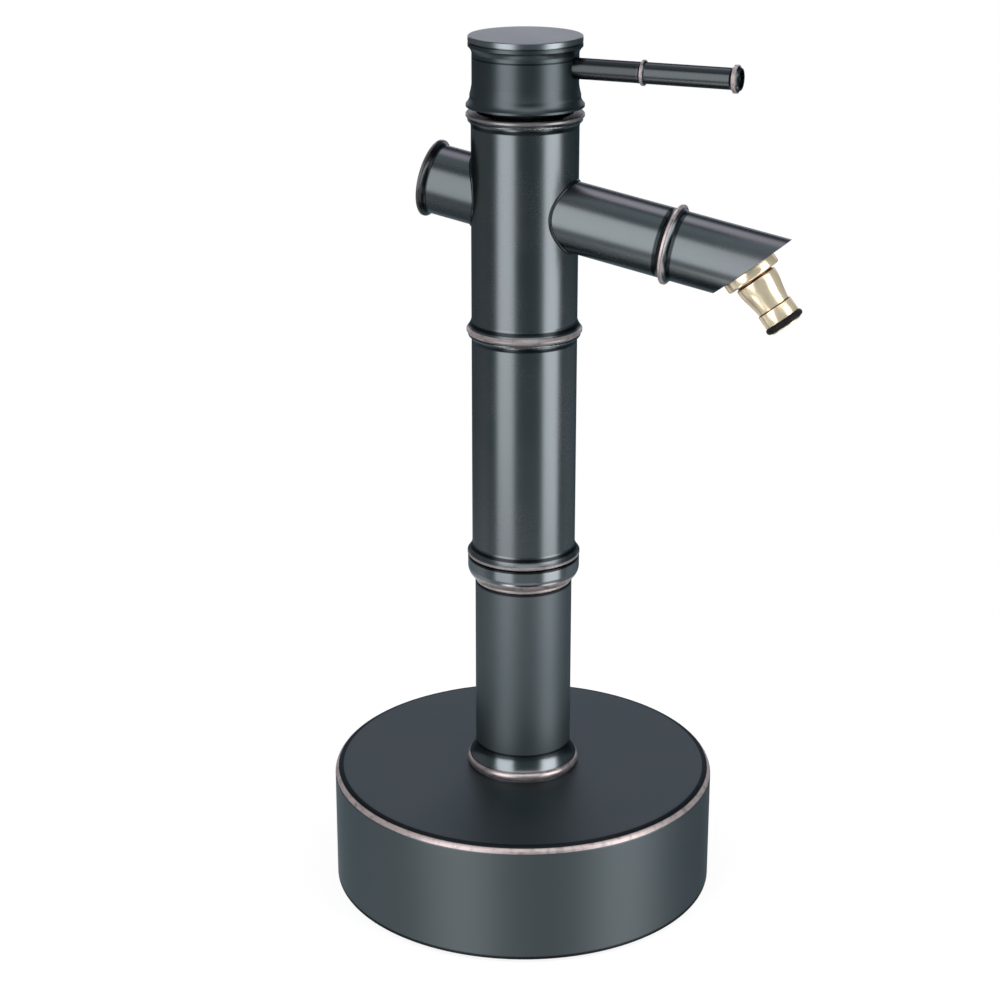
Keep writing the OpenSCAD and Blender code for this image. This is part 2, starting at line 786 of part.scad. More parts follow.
// Turned brass connector: threaded tail, collar, bell and nose with an O-ring groove
module hose_connector() {
    bell_drop = (bell_d - bell_neck_d) / 2;
    bell_run = nose_at - bell_at - 1;
    bell_arc_r = (bell_drop * bell_drop + bell_run * bell_run) / (2 * bell_drop);
    color(brass) on_outlet() rotate_extrude() difference() {
        union() {
            translate([0, -plate_recess - outlet_thread_depth + 0.2])
                square([outlet_thread_r, outlet_thread_depth + plate_recess]);
            square([collar_d / 2, collar_h]);
            translate([0, collar_h - 0.1]) square([bell_d / 2 - 1, 1]);
            translate([0, bell_at]) square([bell_d / 2, nose_at - bell_at]);
            translate([0, nose_at]) square([nose_r, nose_len]);
            translate([0, groove_at - 0.1]) square([nose_r - 1.6, o_ring_t + 0.2]);
            translate([0, groove_at + o_ring_t]) square([nose_r - 0.9, tip_lip_t]);
        }
        translate([bell_neck_d / 2 + bell_arc_r, nose_at - 1]) circle(r = bell_arc_r);
        translate([bell_neck_d / 2, nose_at - 1]) square([bell_d, 1]);
        translate([-1, -20]) square([connector_bore_d / 2 + 1, 40 + tip_at]);
    }
}

module connector_o_ring() {
    color(black_rubber) on_outlet() rotate_extrude() intersection() {
        translate([o_ring_path_r, groove_at + o_ring_r]) circle(r = o_ring_r);
        translate([nose_r - 1.6, groove_at]) square([o_ring_d, o_ring_t]);
    }
}

module stub_tube() {
    color(bronze) difference() {
        on_branch() mirror([0, 0, 1]) rotate_extrude() intersection() {
            difference() {
                union() {
                    translate([0, 8]) square([branch_r, stub_len - 8]);
                    translate([0, stub_len - stub_node_back])
                        node_outline(branch_r, node_rise * 0.8, node_flare * 0.6, node_land);
                }
                translate([-1, 0]) square([branch_bore_r + 1, stub_len + 10]);
            }
            square([2 * branch_r, stub_len]);
        }
        body_bore();
    }
}

// Plug set a little way into the stub's mouth
module stub_end_cap() {
    color(bronze) on_branch() mirror([0, 0, 1])
        translate([0, 0, stub_len - stub_cap_recess - stub_cap_t])
            cylinder(r = branch_bore_r - joint_gap, h = stub_cap_t);
}

// Lever head

module lever_cap() {
    waist_r = cap_waist_d / 2;
    skirt_r = cap_skirt_d / 2;
    waist_z = cap_bottom + cap_waist_up;
    skirt_z = cap_bottom + cap_skirt_h;
    band_z = cap_top - cap_band_h;
    turned() color(bronze) difference() {
        union() {
            rotate_extrude() difference() {
                union() {
                    translate([0, cap_bottom]) square([cap_d / 2, cap_skirt_h]);
                    translate([0, skirt_z]) square([skirt_r, cap_waist_up - cap_skirt_h]);
                    translate([0, waist_z]) square([waist_r, band_z - waist_z]);
                    translate([0, band_z]) square([cap_top_d / 2, cap_band_h]);
                }
                flare_waste(skirt_r, cap_d / 2, skirt_z, cap_bottom + 0.9);
                flare_waste(waist_r, skirt_r, waist_z, skirt_z);
                flare_waste(waist_r, cap_top_d / 2, band_z, cap_top - 1.4);
                translate([-1, cap_bottom - 1]) square([cap_cavity_r + 1, cap_roof - cap_bottom + 1]);
            }
            translate([0, 0, hub_bottom]) cylinder(r = hub_r, h = cap_roof - hub_bottom + 1);
            translate([0, 0, lever_z]) rotate([0, 90, 0])
                cylinder(r = lever_boss_r, h = cap_cavity_r + 0.5);
        }
        translate([0, 0, hub_bottom - 1])
            cylinder(r = stem_r + joint_gap, h = cap_roof - hub_bottom + 1);
        translate([0, 0, cap_top - disc_spigot_h])
            cylinder(r = disc_spigot_r + joint_gap, h = disc_spigot_h + 1);
        translate([0, 0, lever_z]) rotate([0, 90, 0])
            cylinder(r = lever_spigot_r + joint_gap, h = cap_d);
        translate([lever_shoulder, 0, lever_z]) rotate([0, 90, 0])
            cylinder(r = lever_r + joint_gap, h = cap_d);
        translate([0, 0, grub_z]) rotate([0, -90, 0])
            cylinder(r = grub_r + joint_gap, h = hub_r + 1);
        translate([-hub_r - 1, 0, grub_z]) rotate([0, -90, 0])
            cylinder(r = plug_r + joint_gap, h = cap_d);
    }
}

module cap_top_disc() {
    turned() color(bronze) rotate_extrude() difference() {
        union() {
            translate([0, disc_bottom]) square([disc_r_top, disc_t]);
            translate([0, cap_top]) square([disc_r_top - 1.4, disc_shadow_gap + 0.1]);
            translate([0, cap_top - disc_spigot_h]) square([disc_spigot_r, disc_spigot_h + 0.1]);
        }
        corner_waste(disc_r_top, disc_bottom + disc_t, 0.6);
    }
}

module cap_grub_screw() {
    turned() color(steel) translate([-stem_r, 0, grub_z]) rotate([0, -90, 0]) difference() {
        cylinder(r = grub_r, h = grub_len);
        translate([0, 0, grub_len - 2]) cylinder(d = 2.9, h = 3, $fn = 6);
    }
}

module grub_screw_plug() {
    turned() color(bronze) translate([-cap_cavity_r, 0, grub_z]) rotate([0, -90, 0])
        cylinder(r = plug_r, h = cap_wall);
}

// Rod with a threaded spigot in the cap and a thinner core inside the grip
module lever_rod() {
    turned() color(bronze) translate([0, 0, lever_z]) rotate([0, 90, 0]) {
        translate([0, 0, stem_r + 0.5])
            cylinder(r = lever_spigot_r, h = lever_shoulder - stem_r);
        translate([0, 0, lever_shoulder]) cylinder(r = lever_r, h = grip_start - lever_shoulder);
        translate([0, 0, grip_start - 0.5])
            cylinder(r = core_r, h = lever_reach - end_button_t - 3 - grip_start);
    }
}

// Grip sleeve with a node ring at its root and a thicker ring at its end
module lever_grip() {
    turned() color(bronze) translate([0, 0, lever_z]) rotate([0, 90, 0]) rotate_extrude()
        difference() {
            union() {
                translate([0, grip_start]) square([grip_r, lever_reach - grip_start]);
                intersection() {
                    translate([0, lever_node_at]) node_outline(grip_r, lever_node_rise, 1.6, 0.8);
                    translate([0, grip_start]) square([2 * grip_r, lever_reach]);
                }
                intersection() {
                    translate([0, lever_reach - 2])
                        node_outline(grip_r, lever_end_d / 2 - grip_r, 2.2, 1.4);
                    translate([0, grip_start]) square([2 * grip_r, lever_reach - grip_start]);
                }
            }
            translate([-1, grip_start - 1]) square([core_r + joint_gap + 1, lever_reach]);
            translate([-1, lever_reach - 2.6]) square([grip_r - 0.9 + 1, 4]);
        }
}

// Small dished button that closes the grip's end
module lever_end_button() {
    turned() color(bronze) translate([lever_reach - 2.6, 0, lever_z]) rotate([0, 90, 0])
        difference() {
            cylinder(r = grip_r - 0.9 - joint_gap, h = end_button_t);
            translate([0, 0, end_button_t + 3]) sphere(r = 3.6);
        }
}

base_cover();
ballast_ring();
base_plate();
base_plate_screws();
rubber_feet();
inlet_fitting();
inlet_locknut();
riser_olive();
riser_compression_nut();
riser_pipe();
foot_collar_screws();
post_foot_collar();
post_tube();
post_top_collar();
tap_shank_plug();
shank_washer();
shank_backnut();
riser_washer();
riser_union_nut();
tap_body();
feed_tube();
valve_block();
cartridge_seal();
cartridge_housing();
fixed_ceramic_disc();
moving_ceramic_disc();
stem_seal();
gland_nut();
valve_stem();
spout_tube();
outlet_tube();
outlet_plate();
connector_washer();
hose_connector();
connector_o_ring();
stub_tube();
stub_end_cap();
lever_cap();
cap_top_disc();
cap_grub_screw();
grub_screw_plug();
lever_rod();
lever_grip();
lever_end_button();
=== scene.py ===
import math

import bmesh
import bpy
from mathutils import Matrix, Vector


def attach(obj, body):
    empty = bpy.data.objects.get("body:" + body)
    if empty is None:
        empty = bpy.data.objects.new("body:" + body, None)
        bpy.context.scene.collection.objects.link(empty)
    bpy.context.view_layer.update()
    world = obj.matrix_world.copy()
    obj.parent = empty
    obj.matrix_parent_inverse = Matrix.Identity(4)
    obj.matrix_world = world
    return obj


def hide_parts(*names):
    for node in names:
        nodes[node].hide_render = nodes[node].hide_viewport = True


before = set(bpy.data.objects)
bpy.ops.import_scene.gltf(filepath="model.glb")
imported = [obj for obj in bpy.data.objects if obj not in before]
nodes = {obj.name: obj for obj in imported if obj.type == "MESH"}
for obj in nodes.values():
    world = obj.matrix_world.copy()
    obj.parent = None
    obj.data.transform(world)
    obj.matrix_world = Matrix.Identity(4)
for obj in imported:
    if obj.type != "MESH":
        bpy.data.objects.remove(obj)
mm = 0.001
sharpAngle = math.radians(38)         # faces that meet at a larger angle keep a crisp edge


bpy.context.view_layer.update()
print("packed model loaded")

# Lines that wear, grain and turned pieces follow: a point and a direction
branchSlope = math.radians(10)
outletTilt = math.radians(52)
branchAxis = Vector((math.cos(branchSlope), 0, -math.sin(branchSlope)))
outletAxis = Vector((math.cos(outletTilt), 0, -math.sin(outletTilt)))
branchRoot = Vector((0, 0, 318.8)) * mm
cutCentre = branchRoot + 103 * mm * branchAxis
outletRoot = cutCentre + 2 * mm * Vector((-math.sin(outletTilt), 0, -math.cos(outletTilt)))
columnLine = (Vector((0, 0, 0)), Vector((0, 0, 1)))
branchLine = (branchRoot, branchAxis)
leverLine = (Vector((0, 0, 377.6)) * mm, Vector((1, 0, 0)))
outletLine = (outletRoot, outletAxis)


class Wire:
    # A number in a node tree. Sums, products and the like add the Math nodes
    def __init__(self, tree, socket):
        self.tree = tree
        self.socket = socket

    def mathNode(self, operation, *numbers):
        return self.tree.node("ShaderNodeMath", {"operation": operation}, numbers or [self])

    def __add__(self, other):
        return self.mathNode("ADD", self, other)

    def __sub__(self, other):
        return self.mathNode("SUBTRACT", self, other)

    def __rsub__(self, other):
        return self.mathNode("SUBTRACT", other, self)

    def __mul__(self, other):
        return self.mathNode("MULTIPLY", self, other)

    __radd__ = __add__
    __rmul__ = __mul__

    def away(self, place):
        return (self - place).mathNode("ABSOLUTE")

    def larger(self, other):
        return self.mathNode("MAXIMUM", self, other)

    def sine(self):
        return self.mathNode("SINE")

    # 0 up to start and 1 from full on, or the other way round
    def rise(self, start, full):
        return self.tree.node("ShaderNodeMapRange", {"interpolation_type": "SMOOTHSTEP"},
                              {"Value": self, "From Min": start, "From Max": full})


class NodeTree:
    # The nodes of a material or of the world
    def __init__(self, owner):
        self.owner = owner
        owner.use_nodes = True
        self.nodes = owner.node_tree.nodes
        self.links = owner.node_tree.links
        self.nodes.clear()

    # Settings come first, then the sockets' values and links, by name or in order
    def node(self, kind, settings=None, inputs=(), output=0):
        made = self.nodes.new(kind)
        for name, value in (settings or {}).items():
            setattr(made, name, value)
        for key, value in inputs.items() if isinstance(inputs, dict) else enumerate(inputs):
            self.feed(made.inputs[key], value)
        return Wire(self, made.outputs[output]) if len(made.outputs) else None

    def feed(self, socket, value):
        if isinstance(value, Wire):
            self.links.new(value.socket, socket)
        elif socket.type == "RGBA":
            socket.default_value = (*value, 1)
        else:
            socket.default_value = value

    # Colours between first and second, which are sockets 6 and 7 of the node
    def mixed(self, factor, first, second):
        return self.node("ShaderNodeMix", {"data_type": "RGBA"},
                         {0: factor, 6: first, 7: second}, output=2)

    # 1 for rays of that kind: Camera, Glossy or Transmission
    def rayIs(self, kind):
        return self.node("ShaderNodeLightPath", output=f"Is {kind} Ray")

    # Object coordinates in millimetres
    def objectPlace(self):
        place = self.node("ShaderNodeTexCoord", output="Object")
        return self.vectorMath("SCALE", {0: place, "Scale": 1 / mm})

    def vectorMath(self, operation, inputs, output=0):
        return self.node("ShaderNodeVectorMath", {"operation": operation}, inputs, output)


class Finish(NodeTree):
    # A material of the object, built round a Principled shader
    def __init__(self, name, **constants):
        super().__init__(bpy.data.materials.new(name))
        surface = self.node("ShaderNodeBsdfPrincipled")
        self.shader = surface.socket.node
        self.node("ShaderNodeOutputMaterial", {}, [surface])
        self.place = self.objectPlace()
        for socket, value in constants.items():
            self.use(socket.replace("_", " "), value)

    def use(self, name, value):
        self.feed(self.shader.inputs[name], value)

    # Distance along a line and from it, in millimetres
    def about(self, line):
        root, axis = line
        offset = self.vectorMath("SUBTRACT", [self.place, root / mm])
        along = self.vectorMath("DOT_PRODUCT", [offset, axis], "Value")
        onLine = self.vectorMath("SCALE", {0: axis, "Scale": along})
        out = self.vectorMath("LENGTH", [self.vectorMath("SUBTRACT", [offset, onLine])], "Value")
        return along, out

    # Noise with features of about that size in millimetres
    def grain(self, size, detail=2.0, stretch=(1, 1, 1)):
        place = self.place
        if stretch != (1, 1, 1):
            place = self.node("ShaderNodeMapping", {}, {"Vector": place, "Scale": stretch})
        return self.node("ShaderNodeTexNoise", {},
                         {"Vector": place, "Scale": 1 / size, "Detail": detail})

    def bump(self, height, depth):
        self.use("Normal", self.node("ShaderNodeBump", {},
                                     {"Height": height, "Distance": depth * mm}))


# Satin slate bronze with cloudy patches and fine specks, rubbed to pale copper along its edges
bronzeLook = {
    "slate": (0.116, 0.131, 0.138), "cloud": (0.122, 0.132, 0.142),
    "oxideAndShade": (0.022, 0.025, 0.028), "copper": (0.56, 0.465, 0.46),
    "edgeTint": (0.50, 0.55, 0.58),
    "satin": 0.27, "matt": 0.45, "wornRoughness": 0.38,
    "cloudSize": 26, "cloudRoughness": 0.07,
    "speckSize": 1.1, "speckShare": 0.12, "speckRoughness": 0.02, "speckDepth": 0.003,
    "wearPatchSize": 3.2, "wearPatchShare": 0.45,
}


# A worn edge is (place along the line, half its width, radius where the wear starts, radius where
# it is complete). A band of oxide and shade is (place, half its width, radius where it starts): it
# holds oxide in creases and painted shade beside ridges, under rims and in gaps.
# rubbing is how much copper the worn edges show, wornMetallic how much of a mirror they still are
def bronze(name, line=columnLine, worn=(), oxideAndShadeBands=(), roughness=bronzeLook["satin"],
           paintedLightLevel=1.0, rubbing=0.45, tint=(1, 1, 1), wornMetallic=0.2):
    look = Finish(name, Metallic=1.0, Specular_Tint=bronzeLook["edgeTint"])
    along, out = look.about(line)
    cloud = look.grain(bronzeLook["cloudSize"], 3.0)
    speck = look.grain(bronzeLook["speckSize"])
    # paintedLightLevel scales the colours: painted light and shade, making this piece's copy of
    # the bronze lighter or darker for how light falls on it
    slate, haze = ([paintedLightLevel * part * share for part, share in zip(bronzeLook[coat], tint)]
                   for coat in ("slate", "cloud"))
    colour = look.mixed(cloud.rise(0.35, 0.65), slate, haze)
    specksAndShade = speck.rise(0.62, 0.80) * bronzeLook["speckShare"]
    # Random dark specks, then bands of oxide in creases and painted shade beside ridges, under
    # rims and in gaps
    for place, half, start in oxideAndShadeBands:
        band = 1 - along.away(place).rise(half * 0.5, half)
        specksAndShade = specksAndShade.larger(band * out.rise(start - 0.5, start))
    colour = look.mixed(specksAndShade, colour, bronzeLook["oxideAndShade"])
    rubbed = None
    for place, half, start, full in worn:
        edge = out.rise(start, full) * (1 - along.away(place).rise(half * 0.75, half))
        rubbed = edge if rubbed is None else rubbed.larger(edge)
    rough = roughness + (cloud - 0.5) * bronzeLook["cloudRoughness"]
    rough = rough + (speck - 0.5) * bronzeLook["speckRoughness"]
    if rubbed:
        patch = look.grain(bronzeLook["wearPatchSize"], 3.0)
        share = bronzeLook["wearPatchShare"]
        rubbed = rubbed * (patch.rise(0.25, 0.55) * share + (1 - share))
        look.use("Metallic", 1 - rubbed * (1 - wornMetallic))
        rubbed = rubbed * rubbing
        colour = look.mixed(rubbed, colour, bronzeLook["copper"])
        rough = rough + rubbed * (bronzeLook["wornRoughness"] - roughness)
    look.use("Base Color", colour)
    look.use("Roughness", rough)
    look.bump(speck, bronzeLook["speckDepth"])
    return look.owner


# Turned metal with fine rings of the tool along the line and a little tarnish, which also fills
# the grooves (place along the line, half the width). Beyond paintedShadeFrom it is painted black
# as shade
def turnedMetal(name, colour, tarnish, line=columnLine, roughness=0.2, ringPitch=0.35,
                tarnishShare=0.35, metallic=1.0, edgeTint=(1, 1, 1), grooves=(),
                paintedShadeFrom=None):
    look = Finish(name, Metallic=metallic, Specular_Tint=edgeTint)
    along, out = look.about(line)
    blotch = look.grain(7, 4.0)
    rings = (along * (2 * math.pi / ringPitch) + look.grain(9, 1.0) * 3.0).sine()
    shown = look.mixed(blotch.rise(0.45, 0.75) * tarnishShare, colour, tarnish)
    for place, half in grooves:
        shown = look.mixed(1 - along.away(place).rise(half * 0.6, half), shown, tarnish)
    # Painted shade: black beyond paintedShadeFrom, for what sits in the dark gap under the cap
    if paintedShadeFrom:
        shown = look.mixed(along.rise(paintedShadeFrom, paintedShadeFrom + 0.5), shown, bronzeLook["oxideAndShade"])
    look.use("Base Color", shown)
    look.use("Roughness", roughness + blotch.rise(0.4, 0.8) * 0.14)
    look.bump(rings * 0.5 + 0.5, 0.004)
    return look.owner


def drawnCopper(name):
    look = Finish(name, Metallic=1.0)
    streak = look.grain(1.2, stretch=(1, 1, 0.04))
    blotch = look.grain(9, 4.0)
    look.use("Base Color",
             look.mixed(blotch.rise(0.4, 0.7), (0.78, 0.42, 0.28), (0.44, 0.22, 0.15)))
    look.use("Roughness", 0.26 + streak * 0.2)
    look.bump(streak, 0.01)
    return look.owner


def zincPlate(name):
    look = Finish(name, Metallic=1.0)
    spangle = look.node("ShaderNodeTexVoronoi", {}, {"Vector": look.place, "Scale": 0.22})
    haze = look.grain(12, 3.0)
    look.use("Base Color",
             look.mixed(haze.rise(0.35, 0.7), (0.60, 0.61, 0.63), (0.46, 0.47, 0.50)))
    look.use("Roughness", 0.34 + spangle * 0.04)
    look.bump(look.grain(0.8), 0.01)
    return look.owner


def castIron(name):
    look = Finish(name, Metallic=0.6)
    sand = look.grain(1.3, 4.0)
    rust = look.grain(14, 4.0).rise(0.56, 0.75)
    look.use("Base Color", look.mixed(rust * 0.7, (0.09, 0.09, 0.095), (0.20, 0.09, 0.045)))
    look.use("Roughness", 0.62 + sand * 0.25)
    look.bump(sand, 0.25)
    return look.owner


# Rubber, plastic or ceramic: a dull surface with a fine moulded grain
def moulded(name, colour, second, roughness, grainSize=0.5, depth=0.02, gloss=0.5):
    look = Finish(name, Specular_IOR_Level=gloss)
    cloud = look.grain(6, 3.0)
    fine = look.grain(grainSize)
    look.use("Base Color", look.mixed(cloud.rise(0.4, 0.7), colour, second))
    look.use("Roughness", roughness + (fine - 0.5) * 0.16)
    look.bump(fine, depth)
    return look.owner


# Bronze of each piece that shows, and of the gland nut under the cap, which is darkened as painted
# shade for the gap. Each level is painted light and shade for how light falls on that piece
finishes = {
    # base: a painted dark band inside the rounded rim and a painted contact shadow along the
    # bottom edge
    "base_cover": bronze("baseBronze", worn=[(54.2, 1.15, 84.9, 85.5)],
                         oxideAndShadeBands=[(55.6, 1.1, 83.4), (2.2, 0.9, 80)], rubbing=1.0,
                         wornMetallic=0.5, roughness=bronzeLook["matt"], paintedLightLevel=0.82,
                         tint=(0.94, 1, 1.01)),
    # foot collar: oxide and painted shade in the groove above the bead; its raised level is
    # painted light
    "post_foot_collar": bronze("footCollarBronze", oxideAndShadeBands=[(60.7, 0.4, 20)],
                               worn=[(58.4, 2.6, 24.0, 24.6), (61.4, 0.5, 24.2, 24.4)],
                               roughness=0.22, paintedLightLevel=1.3, rubbing=0.8, wornMetallic=0.8),
    # post: painted shade under the bowl and where it enters the foot collar
    "post_tube": bronze("postBronze", oxideAndShadeBands=[(146.6, 0.9, 20), (67.6, 0.9, 20)],
                        roughness=0.50, paintedLightLevel=0.97, tint=(0.94, 1, 1.01)),
    # bowl: copper on the lower roll, partly wear and partly a painted highlight; a painted shade
    # line under the body's ring; its raised level is painted light
    "post_top_collar": bronze("bowlBronze", worn=[(149.7, 2.7, 20.6, 21.2)],
                              oxideAndShadeBands=[(158.6, 0.6, 24)], roughness=0.2, rubbing=0.7, paintedLightLevel=1.5),
    # body: oxide and painted shade beside the rings, and painted shade on the top face in the gap
    # under the cap
    "tap_body": bronze("bodyBronze", rubbing=0.55,
                       worn=[(160.4, 0.8, 24.7, 25.3), (263.7, 1.5, 23.6, 24.4),
                             (357.2, 1.2, 24.4, 25.9)],
                       oxideAndShadeBands=[(266.6, 1.1, 20), (259.6, 1.2, 20), (353.0, 1.2, 20),
                                 (163.6, 1.0, 20), (358, 0.8, 5)]),
    # spout: oxide and painted shade in the grooves either side of the ring
    "spout_tube": bronze("spoutBronze", branchLine, worn=[(68.0, 1.4, 15.9, 16.4)],
                         oxideAndShadeBands=[(65.0, 1.4, 12), (71.2, 1.4, 12)], paintedLightLevel=0.85, rubbing=0.9,
                         wornMetallic=0.5),
    "outlet_plate": bronze("outletBronze", outletLine, paintedLightLevel=0.7),
    # stub: the end ring is painted dark as a dark reflection, with painted shade beside it
    "stub_tube": bronze("stubBronze", branchLine, worn=[(-43.1, 0.8, 15.9, 16.5)],
                        oxideAndShadeBands=[(-40.6, 1.2, 12), (-43.3, 1.3, 15.6)], rubbing=0.12, paintedLightLevel=0.68),
    "stub_end_cap": bronze("stubCapBronze", branchLine, paintedLightLevel=0.6),
    # cap: a painted shade line in the fillet under the top lip
    "lever_cap": bronze("capBronze", oxideAndShadeBands=[(381.2, 0.5, 20)], paintedLightLevel=0.6, roughness=0.36,
                        tint=(0.93, 1, 1.01)),
    # top disc: its raised level is a painted highlight
    "cap_top_disc": bronze("discBronze", paintedLightLevel=1.6, roughness=0.30, tint=(0.99, 1, 0.99)),
    "grub_screw_plug": bronze("plugBronze", paintedLightLevel=0.5),
    "lever_rod": bronze("rodBronze", leverLine, paintedLightLevel=0.34),
    "lever_grip": bronze("gripBronze", leverLine, paintedLightLevel=0.44, rubbing=0.7,
                         worn=[(52.4, 0.9, 4.8, 5.2), (92, 1.6, 5.2, 5.6)]),
    "lever_end_button": bronze("buttonBronze", leverLine, paintedLightLevel=0.25),
    # gland nut: darkened as painted shade for the dark gap under the cap
    "gland_nut": bronze("glandShadedBronze", paintedLightLevel=0.15),
}
# Materials of what is inside, each with the nodes that are made of it
brassColours = ((0.74, 0.56, 0.27), (0.42, 0.28, 0.12))
internals = {
    "rawBrass": (turnedMetal("rawBrass", *brassColours),
                 ["inlet_fitting", "inlet_locknut", "riser_olive", "riser_compression_nut",
                  "riser_union_nut", "shank_backnut", "tap_shank_plug", "valve_stem"]),
    # The valve block's top, seen through the gap under the cap, is painted black as shade
    "blockBrass": (turnedMetal("blockBrass", *brassColours, roughness=0.5,
                               edgeTint=(0.1, 0.08, 0.05), paintedShadeFrom=354),
                   ["valve_block"]),
    "copperTube": (drawnCopper("copperTube"), ["riser_pipe", "feed_tube", "outlet_tube"]),
    "zinc": (zincPlate("zinc"), ["base_plate", "base_plate_screws", "foot_collar_screws",
                                 "shank_washer", "cap_grub_screw"]),
    "castIron": (castIron("castIron"), ["ballast_ring"]),
    "rubber": (moulded("rubber", (0.007, 0.007, 0.007), (0.012, 0.012, 0.012), 0.5,
                       gloss=0.15),
               ["rubber_feet", "riser_washer", "cartridge_seal", "stem_seal", "connector_o_ring",
                "connector_washer"]),
    "cartridgePlastic": (moulded("cartridgePlastic", (0.02, 0.02, 0.022), (0.03, 0.03, 0.033),
                                 0.42), ["cartridge_housing"]),
    "lappedCeramic": (moulded("lappedCeramic", (0.80, 0.78, 0.72), (0.86, 0.84, 0.79), 0.16,
                              grainSize=0.3, depth=0.003),
                      ["fixed_ceramic_disc", "moving_ceramic_disc"]),
}
paleBrass = turnedMetal("paleBrass", (1.0, 0.85, 0.61), (0.17, 0.07, 0.03), outletLine,
                        roughness=0.18, ringPitch=0.4, tarnishShare=0.05, metallic=0.55,
                        edgeTint=(0.35, 0.22, 0.12), grooves=[(4.8, 0.7), (18.9, 0.35)])
wearing = [(material, [node]) for node, material in finishes.items()] + list(internals.values())
for material, members in wearing:
    for node in members:
        nodes[node].data.materials.clear()
        nodes[node].data.materials.append(material)
print("finishes on the CAD nodes")


# work is a bmesh in millimetres, built about +Z, which goes onto the line
def finished(name, work, body, material, line=None):
    bmesh.ops.remove_doubles(work, verts=work.verts, dist=0.001)
    bmesh.ops.recalc_face_normals(work, faces=work.faces)
    place = Matrix.Scale(mm, 4)
    if line:
        root, axis = line
        turn = axis.to_track_quat("Z", "Y").to_matrix().to_4x4()
        place = Matrix.Translation(root) @ turn @ place
    work.transform(place)
    mesh = bpy.data.meshes.new(name)
    work.to_mesh(mesh)
    work.free()
    mesh.shade_smooth()
    mesh.set_sharp_from_angle(angle=sharpAngle)
    mesh.materials.append(material)
    piece = bpy.data.objects.new(name, mesh)
    bpy.context.scene.collection.objects.link(piece)
    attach(piece, body)
    return piece


# A closed outline of (radius, height, rounding), turned round +Z
def turnedOutline(outline, steps):
    work = bmesh.new()
    corner = [work.verts.new((radius, 0, height)) for radius, height, _ in outline]
    for first, second in zip(corner, corner[1:] + corner[:1]):
        work.edges.new((first, second))
    for vertex, (_, _, rounding) in zip(corner, outline):
        if rounding:
            bmesh.ops.bevel(work, geom=[vertex], offset=rounding, affect="VERTICES", segments=4,
                            profile=0.5, material=-1)
    bmesh.ops.spin(work, geom=work.verts[:] + work.edges[:], cent=(0, 0, 0), axis=(0, 0, 1),
                   angle=2 * math.pi, steps=steps, use_merge=True)
    return work


# Brass hose connector: collar, groove, bell, nose, O-ring groove and tip, as radii and heights
# above the outlet plate
connector = {
    "bore": 4.5, "tail": 10.45, "tailDepth": 5, "collar": 12.2, "collarEnd": 4.3,
    "groove": 8.3, "grooveEnd": 5.2, "bell": 9.2, "bellShoulder": 8.6,
    "bellWaist": 7.7, "waistHeight": 14.6, "bellNeck": 7.1, "bellEnd": 19.0,
    "nose": 7.8, "noseEnd": 25.0, "ringGroove": 6.2, "ringEnd": 27.8,
    "tip": 6.9, "tipEnd": 28.3, "steps": 144,
}
c = connector
connectorWork = turnedOutline([
    (c["bore"], -c["tailDepth"], 0), (c["tail"], -c["tailDepth"], 0.3), (c["tail"], 0, 0),
    (c["collar"], 0, 0.3), (c["collar"], c["collarEnd"], 0.9),
    (c["groove"], c["collarEnd"], 0.25), (c["groove"], c["grooveEnd"], 0.2),
    (c["bell"], c["grooveEnd"], 0.5), (c["bell"], c["bellShoulder"], 2.5),
    (c["bellWaist"], c["waistHeight"], 3.0), (c["bellNeck"], c["bellEnd"], 0.2),
    (c["nose"], c["bellEnd"], 0.35), (c["nose"], c["noseEnd"], 0.3),
    (c["ringGroove"], c["noseEnd"], 0), (c["ringGroove"], c["ringEnd"], 0),
    (c["tip"], c["ringEnd"], 0.15), (c["tip"], c["tipEnd"], 0.3),
    (c["bore"], c["tipEnd"], 0.4)], c["steps"])
connectorPiece = finished("connectorTurning", connectorWork, "column", paleBrass,
                          outletLine)
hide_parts("hose_connector")
print("hose connector turned")


# Brazed bead where a branch leaves the body: a tube along the line where the two cylinders cross.
# It is darkened to a black line, partly braze oxide and partly painted shade along the joint
braze = {"body": 23.0, "branch": 15.0, "bead": 0.75, "points": 96}
brazeBronze = bronze("brazeBronze", paintedLightLevel=0.3, roughness=0.22)


def brazeBead(name, side):
    up = branchAxis.cross(Vector((0, 1, 0)))
    bead = bpy.data.curves.new(name, "CURVE")
    bead.dimensions = "3D"
    bead.bevel_depth = braze["bead"] * mm
    bead.bevel_resolution = 5
    path = bead.splines.new("POLY")
    path.points.add(braze["points"] - 1)
    path.use_cyclic_u = True
    for i, point in enumerate(path.points):
        turn = 2 * math.pi * i / braze["points"]
        y = braze["branch"] * math.cos(turn)
        rim = Vector((0, y, 0)) + braze["branch"] * math.sin(turn) * up
        reach = (side * math.sqrt(braze["body"] ** 2 - y * y) - rim.x) / branchAxis.x
        point.co = (*((rim + reach * branchAxis) * mm + branchRoot), 1)
    drawn = bpy.data.objects.new(name, bead)
    bpy.context.scene.collection.objects.link(drawn)
    bpy.context.view_layer.update()
    swept = drawn.evaluated_get(bpy.context.evaluated_depsgraph_get())
    mesh = bpy.data.meshes.new_from_object(swept)
    bpy.data.objects.remove(drawn)
    mesh.shade_smooth()
    mesh.materials.clear()
    mesh.materials.append(brazeBronze)
    piece = bpy.data.objects.new(name, mesh)
    bpy.context.scene.collection.objects.link(piece)
    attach(piece, "column")
    return piece


brazeBead("spoutBraze", 1)
brazeBead("stubBraze", -1)
print("braze beads laid")


